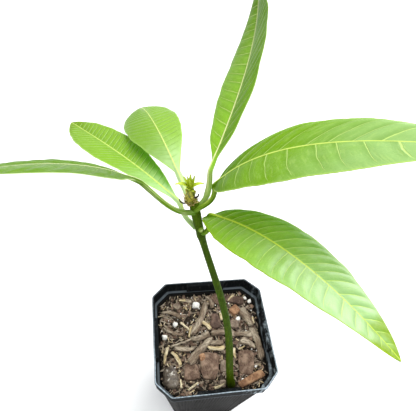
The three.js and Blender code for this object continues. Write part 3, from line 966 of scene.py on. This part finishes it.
# the pot's inside at its floor and at its shoulder, and the gap between it and the mix
FLOOR_LEVEL, FLOOR_HALF = 2, 27.4
SHOULDER_LEVEL, SHOULDER_HALF = 114.2, 41.3
WALL_GAP = 0.35
MIX_HALF, MIX_CHAMFER = 41, 10.2  # half width and cut corner at the surface
MIX_POINTS, MIX_RINGS = 160, 70
STEM_FOOT, STEM_CLEARANCE = np.array([10.9, -35.4]), 5.3


def mix_half(z):
    """Half the width of the mix inside the pot's wall at a height."""
    widening = (SHOULDER_HALF - FLOOR_HALF) / (SHOULDER_LEVEL - FLOOR_LEVEL)
    return FLOOR_HALF + widening * (z - FLOOR_LEVEL) - WALL_GAP


def mix_height(xy):
    """The mix's lumpy surface at flat places, a little lower by the walls."""
    place = np.column_stack([xy, 0 * xy[:, 0]])
    lumpy = 0.7 * rough(place, 16.0, 21) + 0.45 * rough(place, 5.0, 22)
    lumpy = lumpy + 0.25 * rough(place, 2.2, 23)
    return MIX_TOP - 0.6 + lumpy - 0.6 * ease(np.abs(xy).max(1), 36, 41)


def mix_ring(z, scale):
    """A square ring with cut corners inside the wall, shrunk by scale."""
    half = mix_half(z)
    edge = half - MIX_CHAMFER * half / MIX_HALF
    corners = four_sides(np.array([(half, -edge), (half, edge)]))
    corners = np.concatenate([corners, corners[:1]])
    lengths = np.concatenate([[0], np.cumsum(np.linalg.norm(np.diff(corners, axis=0), axis=1))])
    at = np.linspace(0, lengths[-1], MIX_POINTS, endpoint=False)
    return np.stack([np.interp(at, lengths, corners[:, k]) for k in (0, 1)], -1) * scale


def mix_skin():
    """A block under the surface, whose top rings shrink to the middle and follow the lumps."""
    rings = [np.column_stack([mix_ring(z, 1), np.full(MIX_POINTS, z)]) for z in (2.4, 60, 108)]
    for scale in np.linspace(1, 0.01, MIX_RINGS):
        flat = mix_ring(109, scale)
        rings.append(np.column_stack([flat, mix_height(flat)]))
    return loft(np.array(rings))


def block_shape(rows, count, square):
    """A rounded block one wide each way: cosines and sines to the power square round two angles."""

    def pulled(v):
        """v with its sign kept and its size to the power square."""
        return np.sign(v) * np.abs(v) ** square

    tilt = np.linspace(-math.pi / 2, math.pi / 2, rows + 2)[1:-1, None]
    turn = circle(count) + 0.3
    flat = pulled(np.cos(tilt))
    rings = stacked(flat * pulled(np.cos(turn)), flat * pulled(np.sin(turn)), pulled(np.sin(tilt)))
    points, quads, triangles, _ = loft(rings / 2)
    points[-2:, 2] = (-0.5, 0.5)
    return points, quads, triangles


def lumps(places, sizes, turns, tilts, shape, uneven, seed, swell=0):
    """Blocks of given sizes, each with its corners pushed about, tapered and bowed, then tipped by
    tilts about X and Y, turned about Z, and set at its place. swell is the share by which smooth
    lumps push the skin in and out."""
    draw = np.random.default_rng(seed)
    points, quads, triangles = shape
    number = len(places)
    places = np.asarray(places)[:, None]
    along = points[None, :, 0]
    pushed = points[None] + draw.normal(0, uneven, (number,) + points.shape)
    pushed[..., 1] *= 1 + draw.uniform(-0.35, 0.35, (number, 1)) * along * 2
    pushed[..., 2] += draw.uniform(-0.6, 0.6, (number, 1)) * along**2 * 1.2
    pushed = pushed * np.asarray(sizes)[:, None]
    if swell:
        pushed = pushed * (1 + swell * rough(pushed + places, 6.0, seed))[..., None]
    for axis, angle in zip(np.eye(3), (tilts[:, 0], tilts[:, 1], turns)):
        pushed = turned(pushed, np.broadcast_to(axis, pushed.shape), angle[:, None])
    return repeated(pushed + places, quads, triangles)


def scatter(number, seed, inset):
    """Random places on the mix inside the wall and clear of the stem."""
    draw = np.random.default_rng(seed)
    xy = draw.uniform(-MIX_HALF, MIX_HALF, (number * 3, 2))
    half = mix_half(MIX_TOP) - inset
    keep = (np.abs(xy).max(1) < half) & (np.abs(xy).sum(1) < 2 * half - MIX_CHAMFER)
    keep &= np.linalg.norm(xy - STEM_FOOT, axis=1) > STEM_CLEARANCE
    return xy[keep][:number]


def litter(number, seed, length, width, height, shape, uneven, raised):
    """Loose pieces lying on the mix. length, width and height are ranges in millimetres, and
    raised is the share of its height by which a piece is lifted."""
    draw = np.random.default_rng(seed + 100)
    xy = scatter(number, seed, length[1] * 0.12)
    number = len(xy)
    sizes = np.stack([draw.uniform(*extent, number) for extent in (length, width, height)], -1)
    z = mix_height(xy) + sizes[:, 2] * raised + draw.uniform(0, 1.1, number)
    turns = draw.uniform(0, 2 * math.pi, number)
    tilts = draw.normal(0, 0.35, (number, 2)) * np.array([1, 0.5])
    return lumps(np.column_stack([xy, z]), sizes, turns, tilts, shape, uneven, seed + 200)


def slabs(rows, seed, square=0.48, swell=0.07):
    """Large flat pieces with rounded corners. Each row of the table is (x, y, length, turn, width,
    height, lift)."""
    x, y, length, turn, width, height, lift = np.array(rows, float).T
    draw = np.random.default_rng(seed)
    sizes = np.stack([length, width, height], -1)
    places = np.stack([x, y, MIX_TOP + lift], -1)
    tilts = draw.normal(0, 0.05, (len(rows), 2))
    shape = block_shape(24, 48, square)
    return lumps(places, sizes, np.radians(turn), tilts, shape, 0.003, seed + 1, swell)


STRIP_STATIONS, STRIP_POINTS = 22, 14


def sticks(rows, seed):
    """Torn strips, all at once: stations along each, and at each a flattened ring whose columns
    keep their own heights, so that fibres run lengthwise. The strip bows sideways and upwards as
    the square of the way from its middle. Rows are as for slabs."""
    x, y, length, turn, width, height, lift = (v[:, None, None] for v in np.array(rows, float).T)
    draw = np.random.default_rng(seed)
    number = len(x)
    one_each, columns = (number, 1, 1), (number, 1, STRIP_POINTS)
    t = np.linspace(-0.5, 0.5, STRIP_STATIONS)[None, :, None]
    angle = circle(STRIP_POINTS)
    fibre = 1 + draw.normal(0, 0.12, columns)
    fibre = fibre + draw.normal(0, 0.05, (number, STRIP_STATIONS, STRIP_POINTS))
    ends = np.clip(1 - np.abs(2 * t) ** draw.uniform(6, 22, one_each), 0.12, 1) ** 0.5
    torn = draw.uniform(0, 0.2, columns) * np.abs(2 * t) ** 6
    lean = 1 + draw.uniform(-0.4, 0.4, one_each) * 2 * t
    lean = lean * (1 + 0.2 * rough(stacked(length * t, x + 9 * np.sign(np.cos(angle)), y), 5.0, seed))
    bow, arch = draw.uniform(-0.12, 0.12, (2, number, 1, 1))
    twist = draw.uniform(-0.5, 0.5, one_each) * t
    across = width / 2 * np.cos(angle) * fibre * ends * lean
    up = height / 2 * np.sin(angle) * fibre * ends
    curve = length * (4 * t * t - 0.5)
    side = across * np.cos(twist) - up * np.sin(twist) + bow * curve
    z = across * np.sin(twist) + up * np.cos(twist) - np.abs(arch) * 0.5 * curve
    along = length * t * (1 - torn)
    c, s = np.cos(np.radians(turn)), np.sin(np.radians(turn))
    rings = np.stack([x + along * c - side * s, y + along * s + side * c, MIX_TOP + lift + z], -1)
    streak = 5 * draw.uniform(-1, 1, one_each) + np.abs(angle - math.pi) * width / 4
    marks = [{"grain": grain, "along": here} for grain, here in zip(streak, along)]
    return joined([loft(*strip) for strip in zip(rings, marks)])


BROWN_SLABS = [
    (-3.5, -20.8, 19.8, -97, 14.0, 4.4, 1.5), (-17.5, -23.7, 12.4, -88, 11.4, 3.6, 1.1),
    (25.0, -20.5, 19.0, -100, 12.3, 4.4, 1.4), (9.2, 34.1, 10.5, -48, 7.2, 3.2, 0.9),
]
UMBER_SLABS = [(5.6, 14.7, 12.2, -95, 7.7, 4.4, 1.5), (24.6, 32.9, 16.5, -14, 7.2, 3.6, 1.2)]
GREY_SLABS = [
    (20.6, 10.7, 7.4, -94, 7.8, 4.0, 1.4), (6.9, -21.4, 9.3, -95, 4.4, 3.0, 1.2),
    (4.7, -34.3, 5.5, -98, 4.8, 2.6, 1.2), (17.3, 3.2, 6.2, -80, 5.0, 3.0, 1.6),
    (13.8, 24.5, 7.0, -70, 4.6, 3.0, 1.2), (-24.8, 30.3, 5.5, -52, 5.5, 3.4, 1.2),
]
WET_STONES = [(-33.3, -26.7, 16.5, -85, 11.6, 7.5, 1.4)]
RUST_SLABS = [
    (26.9, -33.2, 21.5, 21, 5.7, 5.0, 1.6), (22.5, 22.3, 8.2, 36, 7.2, 6.0, 2.0),
    (-8.4, -14.4, 5.6, -75, 4.6, 1.2, 3.5),
]
GREY_STRIPS = [
    (-7.3, 17.6, 33.7, -117, 5.3, 3.2, 2.6), (-22.0, -1.3, 22.1, 16, 1.6, 1.4, 3.4),
    (-8.2, 2.0, 17.0, 13, 3.8, 2.6, 2.6), (9.7, 4.5, 19.3, 4, 3.6, 2.8, 2.4),
    (26.2, 1.7, 17.1, -4, 3.7, 3.0, 2.2), (-9.2, -8.9, 28.7, -135, 5.6, 3.2, 3.2),
    (32.0, 16.3, 19.5, -62, 6.6, 3.0, 1.8), (36.6, -6.0, 28.5, -82, 4.8, 2.8, 1.7),
    (29.1, -6.3, 14.5, -36, 4.5, 3.2, 2.2), (-30.0, 23.4, 17.6, -20, 3.0, 2.0, 1.9),
    (-29.7, 8.0, 18.6, -23, 2.0, 1.6, 2.2), (-32.8, 11.0, 12.2, -45, 1.4, 1.2, 1.9),
    (-17.9, 34.9, 12.0, -15, 2.6, 1.8, 1.8), (3.3, 32.0, 12.8, -69, 3.0, 2.2, 1.9),
    (4.2, -3.5, 12.0, -5, 3.0, 2.2, 2.0), (-21.3, -6.1, 18.2, -8, 3.2, 2.2, 2.2),
]
STRAWS = [
    (-19.6, 11.8, 10.9, -46, 1.8, 1.1, 3.0), (-15.9, 6.6, 10.6, -109, 1.7, 1.0, 3.6),
    (-36.2, -10.2, 14.5, -105, 2.2, 1.2, 2.0), (-28.2, -13.1, 13.8, -60, 2.6, 1.3, 2.6),
    (3.0, -7.7, 14.7, -7, 3.0, 1.6, 3.0), (-2.5, 11.6, 10.8, -47, 3.2, 1.8, 2.6),
    (11.0, 18.3, 7.2, -77, 2.9, 1.6, 2.4), (17.0, -13.3, 8.5, -91, 2.0, 1.2, 2.4),
    (2.1, -36.0, 9.4, 19, 1.7, 1.2, 2.0), (-17.3, -34.4, 10.2, 30, 1.5, 1.0, 2.0),
    (-26.0, -32.0, 6.6, -89, 1.4, 1.0, 2.0), (-20.2, 35.0, 6.0, 3, 2.0, 1.2, 2.4),
    (23.2, -9.6, 6.7, 21, 1.2, 0.9, 3.4), (37.0, 12.6, 6.5, -88, 1.5, 1.0, 2.6),
    (21.3, 33.9, 9, 40, 1.5, 1.2, 3.2),
]
PERLITE = [
    (-9.3, 29.3, 5.6), (-27.5, 14, 4.6), (-36.4, 3.9, 4.0), (37.0, 30.0, 3.2), (33.7, 33.5, 3.0),
    (24.5, 14.4, 4.0), (27.3, 23.1, 2.6), (20.2, -33.2, 2.0), (32, -24.2, 1.9), (-26.1, -31.5, 2.2),
]


NEARLY_ROUND = 6.28


def perlite_skin():
    """White grains: the large ones in their places and small ones scattered."""
    big = np.array(PERLITE)
    tiny = scatter(70, 41, 1.5)
    draw = np.random.default_rng(42)
    xy = np.concatenate([big[:, :2], tiny])
    size = np.concatenate([big[:, 2], draw.uniform(0.5, 1.2, len(tiny))])
    sizes = size[:, None] * draw.uniform(0.75, 1.1, (len(size), 3))
    places = np.column_stack([xy, mix_height(xy) + 1.6 + size * 0.2])
    turns = draw.uniform(0, NEARLY_ROUND, len(size))
    tilts = draw.normal(0, 0.5, (len(size), 2))
    return lumps(places, sizes, turns, tilts, block_shape(5, 8, 0.62), 0.06, 43)


def strip_material(name, dark, mid, light):
    """A torn strip: streaks along its fibres, painted shade between them and dusty on the high ones.
    """
    made, n, shader = new_material(name, 0.85, specular=0.2)
    place = n.place()
    laid = n.vector(n.value("grain"), n.times(n.value("along"), 0.12))
    streak = n.noise(laid, 0.4, 5.0, 0.65)
    base = n.paint(
        mid,
        (n.step(n.noise(laid, 2.6), 0.4, 0.7), light),
        # painted shade in the low streaks between the fibres
        (n.step(streak, 0.56, 0.4, 0.0, 0.7), dark),
        (n.step(n.noise(place, 4.0, 3.0), 0.5, 0.75, 0.0, 0.45), dark),
        (n.step(n.noise(place, 0.8, 4.0), 0.55, 0.8, 0.0, 0.4), light),
    )
    n.feed(shader, Base_Color=base, Normal=n.bump(streak, 0.4))
    return made


def bark_material(name, size, dark, mid, light):
    """Broken bark: layered lengthwise fibres, dark hollows and dusty high spots. size is how wide
    its clouds are."""
    made, n, shader = new_material(name, 0.85, specular=0.3)
    place = n.place()
    grain = n.add("Group", {"Size": size}, node_tree=GRAIN).outputs
    fine = n.noise(n.stretched(place, (1.0, 0.5, 1.0)), 0.8, 5.0, 0.6)
    layers = n.noise(n.stretched(place, (1.0, 1.0, 4.0)), 1.6, 4.0)
    base = n.paint(
        dark,
        (n.step(fine, 0.2, 0.65), mid),
        (n.step(grain["Cloud"], 0.2, 1.0, 0.0, 0.65), light),
        (n.times(grain["Fleck"], 0.2), "b9ab95"),
        (n.step(layers, 0.55, 0.75, 0.0, 0.5), dark),
    )
    relief = n.bump(n.plus(fine, n.times(layers, 0.8)), 0.35)
    n.feed(shader, Base_Color=base, Normal=relief)
    return made


def soil_material():
    """Fine dark soil, blacker by the pot's walls as painted shade."""
    made, n, shader = new_material("soil bed", 0.9, specular=0.2)
    place = n.place()
    right, back, _ = n.apart(place)
    off = n.math("MAXIMUM", n.math("ABSOLUTE", right), n.math("ABSOLUTE", back))
    fine = n.noise(place, 0.7, 5.0, 0.65)
    base = n.paint(
        "140f0b",
        (n.step(fine, 0.3, 0.7), "3c3127"),
        (n.step(n.noise(place, 1.6, 3.0), 0.58, 0.74, 0.0, 0.5), "7c6b57"),
        # painted shade by the pot's walls
        (n.step(off, 35.0, 40.0, 0.0, 0.75), "0f0b08"),
    )
    n.feed(shader, Base_Color=base, Normal=n.bump(fine, 0.6))
    return made


def perlite_material():
    """White grains with shallow pores."""
    made, n, shader = new_material("perlite", 0.9, specular=0.3)
    pores = n.noise(n.place(), 0.5, 3.0)
    base = n.paint("cfc8ba", (n.step(pores, 0.3, 0.55), "fbf9f3"))
    n.feed(shader, Base_Color=base, Normal=n.bump(pores, 0.12))
    return made


def stone_material():
    """A wet dark stone with painted glints, pale spots, on its crown."""
    made, n, shader = new_material("wet stone", 0.5, coat=0.25, specular=0.2)
    place = n.place()
    cloud = n.noise(place, 4.0, 4.0)
    crown = n.step(n.apart(place)[2], 113.8, 115.2)
    # pale spots on the stone's crown: painted glints
    spots = n.times(n.step(n.noise(place, 2.2, 3.0, 0.6), 0.56, 0.66), crown)
    base = n.paint(
        "41372f",
        (n.step(cloud, 0.35, 0.65), "72675a"),
        (n.step(n.noise(place, 0.7, 4.0), 0.5, 0.75, 0.0, 0.5), "2e2822"),
        # the painted glints
        (n.times(spots, 0.75), "cfcabe"),
    )
    n.feed(shader, Base_Color=base, Normal=n.bump(cloud, 0.3))
    return made


# ---- Pieces ----

piece("pot_shell", pot_skin(), pot_material(), ["pot"])
piece("soil_bed", mix_skin(), soil_material(), ["potting_mix"])

brown = bark_material("brown bark", 5.0, "38291f", "6e5748", "a08772")
umber = bark_material("umber bark", 5.0, "2c211b", "544137", "7c6456")
grey = bark_material("grey bark", 4.0, "4c4036", "7c6b5c", "aa9a86")
rust = bark_material("rust bark", 4.0, "553a28", "8c664a", "bc9470")
grey_strip = strip_material("grey strip", "3c2f25", "84725f", "beb09a")
straw = strip_material("straw", "786340", "c2ae84", "ece0c0")
MIX_PIECES = {
    "bark_slabs_brown": (slabs(BROWN_SLABS, 31), brown),
    "bark_slabs_umber": (slabs(UMBER_SLABS, 32), umber),
    "bark_slabs_grey": (slabs(GREY_SLABS, 34), grey),
    "bark_slabs_rust": (slabs(RUST_SLABS, 33, 0.4, 0.04), rust),
    "wet_stone": (slabs(WET_STONES, 38, 0.8, 0.12), stone_material()),
    "bark_strips_grey": (sticks(GREY_STRIPS, 35), grey_strip),
    "straw_slivers": (sticks(STRAWS, 37), straw),
}
for name, (skin, bark) in MIX_PIECES.items():
    piece(name, skin, bark)

soil = bark_material("soil", 2.2, "140f0b", "2e251d", "54483b")
grey_shred = bark_material("grey shreds", 4.0, "6a5c4c", "9c8c78", "d2c6b2")
pale = bark_material("pale splinters", 3.0, "8d7650", "cdb68c", "ecdcba")
CHIP = block_shape(3, 7, 0.45)
SLIVER = block_shape(3, 6, 0.5)
LITTER = {
    # number, seed, length, width, height, shape, unevenness, raised, material
    "bark_crumbs_dark": (420, 51, (1.2, 4), (1, 2.8), (0.8, 1.8), CHIP, 0.07, 0.1, soil),
    "bark_crumbs_brown": (340, 52, (1.5, 5), (1.2, 3), (0.9, 1.8), CHIP, 0.06, 0.1, brown),
    "bark_crumbs_grey": (420, 53, (2, 8), (0.8, 2), (0.6, 1.4), SLIVER, 0.05, 0.1, grey),
    "bark_shreds": (420, 55, (2, 7), (0.35, 0.8), (0.3, 0.6), SLIVER, 0.05, 0.8, grey_shred),
    "straw_crumbs": (240, 54, (1.2, 5), (0.4, 0.9), (0.3, 0.6), SLIVER, 0.05, 1.0, pale),
}
for name, (*extents, bark) in LITTER.items():
    piece(name, litter(*extents), bark, smooth=False)

piece("perlite", perlite_skin(), perlite_material())
piece("stem_bark", stem_skin(), stem_material(), ["stem"])

COMMON_LOOK = dict(reach=0.03, line=0.7, gloss=0.1, middle=0.62, specular=0.08)
LEAF_LOOKS = {
    "leaf_left": dict(
        young="5c8010", blade="588010", pale="608818", tip="648c14", margin="c4d490",
        rib="e0e0b0", vein="98b05c", foot="5c8010", dim="446800", line=0.4,
    ),
    "leaf_back_left": dict(
        young="a4c88c", blade="7ca828", pale="749c24", tip="6a8a0c", margin="b0d068",
        rib="c8dc70", vein="b8d880", foot="a8c488", dim="569c00", reach=0.12,
    ),
    "leaf_back": dict(
        young="a8c888", blade="7ca434", pale="749c34", tip="6c9020", margin="a4cc60",
        rib="ccd87c", vein="a8cc70", foot="a8c488", dim="548414", reach=0.12, middle=0.42,
    ),
    "leaf_upright": dict(
        young="80b028", blade="78a430", pale="5c840c", tip="3c5c00", margin="a8c868",
        rib="dce0a0", vein="b8d070", foot="88a850", dim="447000",
    ),
    "leaf_right": dict(
        young="527c00", blade="6c9810", pale="8eb268", tip="84a858", margin="b0d060",
        rib="c4d868", vein="bcd878", foot="55760c", dim="4c7400", line=0.75, specular=0.02,
    ),
    "leaf_front": dict(
        young="6e9a00", blade="80ac2c", pale="98bc7c", tip="789400", margin="94b010",
        rib="c0d440", vein="b8d868", foot="55760c", dim="4c8400", line=0.75, gloss=0.4,
    ),
}
VEIN_HALF = 0.3
for number, (name, leaf) in enumerate(LEAVES.items()):
    width = VEIN_HALF * leaf["veins"] / leaf["length"]
    wax = leaf_material(name + " skin", width, {**COMMON_LOOK, **LEAF_LOOKS[name]})
    piece(name + "_blade", leaf_skin(leaf, 60 + number), wax, [name])

piece("bud_and_leaflets", bud_skin(), bud_material(), ["shoot_tip"])
piece("bud_scales", scale_skin(), husk_material("bud scale", "847c14", "ccc850"))
piece("bud_bracts", bract_skin(), husk_material("bract", "8c7830", "d8c884"))
piece("dry_scales", dry_scale_skin(), husk_material("dry scale", "140e0a", "463828"))


# ---- Floor, light and camera ----


def floor():
    """A wide pale floor."""
    mesh = bpy.data.meshes.new("floor")
    wide = 4.0
    corners = [(-wide, -wide, 0), (wide, -wide, 0), (wide, wide, 0), (-wide, wide, 0)]
    mesh.from_pydata(corners, [], [(0, 1, 2, 3)])
    made, n, shader = new_material("floor", 0.9, specular=0.1)
    n.feed(shader, Base_Color=n.paint("f4f4f3", (n.noise(n.place(), 400.0), "f8f8f8")))
    mesh.materials.append(made)
    ground = bpy.data.objects.new("floor", mesh)
    bpy.context.scene.collection.objects.link(ground)


def area_light(name, place, target, size, power):
    """A rectangular soft light that faces its target."""
    lamp = bpy.data.lights.new(name, "AREA")
    lamp.shape = "RECTANGLE"
    lamp.size, lamp.size_y = size
    lamp.energy = power
    made = bpy.data.objects.new(name, lamp)
    made.location = place
    made.rotation_euler = (Vector(target) - Vector(place)).to_track_quat("-Z", "Y").to_euler()
    bpy.context.scene.collection.objects.link(made)


def studio():
    """A world that is dim at the horizon and bright overhead."""
    world = bpy.data.worlds.new("studio")
    world.use_nodes = True
    n = Nodes(world.node_tree)
    height = n.apart(n.add("TexCoord", {}).outputs["Generated"])[2]
    backdrop = world.node_tree.nodes["Background"]
    backdrop.inputs["Color"].default_value = (0.95, 0.97, 1.0, 1)
    n.feed(backdrop, Strength=n.step(height, 0.0, 0.9, 0.3, 1.25))
    bpy.context.scene.world = world
    bpy.context.scene.view_settings.view_transform = "Standard"


# The camera looks down on the plant from the front. Its focal length and the width of its view are
# in the same units, and the film's width is in millimetres.
CAMERA_PLACE = (-41.67, -125.49, 420.31)
RIGHT = (0.98984, -0.11861, 0.07845)
DOWN = (-0.03822, -0.75330, -0.65656)
FORWARD = (0.13697, 0.64689, -0.75018)
FILM_WIDTH = 36
FOCAL_LENGTH, VIEW_WIDTH = 400, 416


def camera():
    """The camera at its place, turned to its right, up and forward directions."""
    lens = bpy.data.cameras.new("camera")
    lens.sensor_fit = "HORIZONTAL"
    lens.sensor_width = FILM_WIDTH
    lens.lens = FOCAL_LENGTH / VIEW_WIDTH * FILM_WIDTH
    lens.clip_start = 0.01
    made = bpy.data.objects.new("camera", lens)
    rows = [(RIGHT[k], -DOWN[k], -FORWARD[k], CAMERA_PLACE[k] * MM) for k in range(3)]
    made.matrix_world = Matrix(rows + [(0, 0, 0, 1)])
    bpy.context.scene.collection.objects.link(made)
    bpy.context.scene.camera = made


floor()
area_light("top softbox", (0.15, 0.1, 1.4), (0, 0, 0.2), (0.9, 0.9), 12)
area_light("back softbox", (1.05, 0.95, 0.55), (0.05, -0.05, 0.28), (0.9, 0.7), 13)
area_light("front fill", (-0.7, -1.1, 0.9), (0, 0, 0.2), (0.8, 0.8), 2)
studio()
camera()
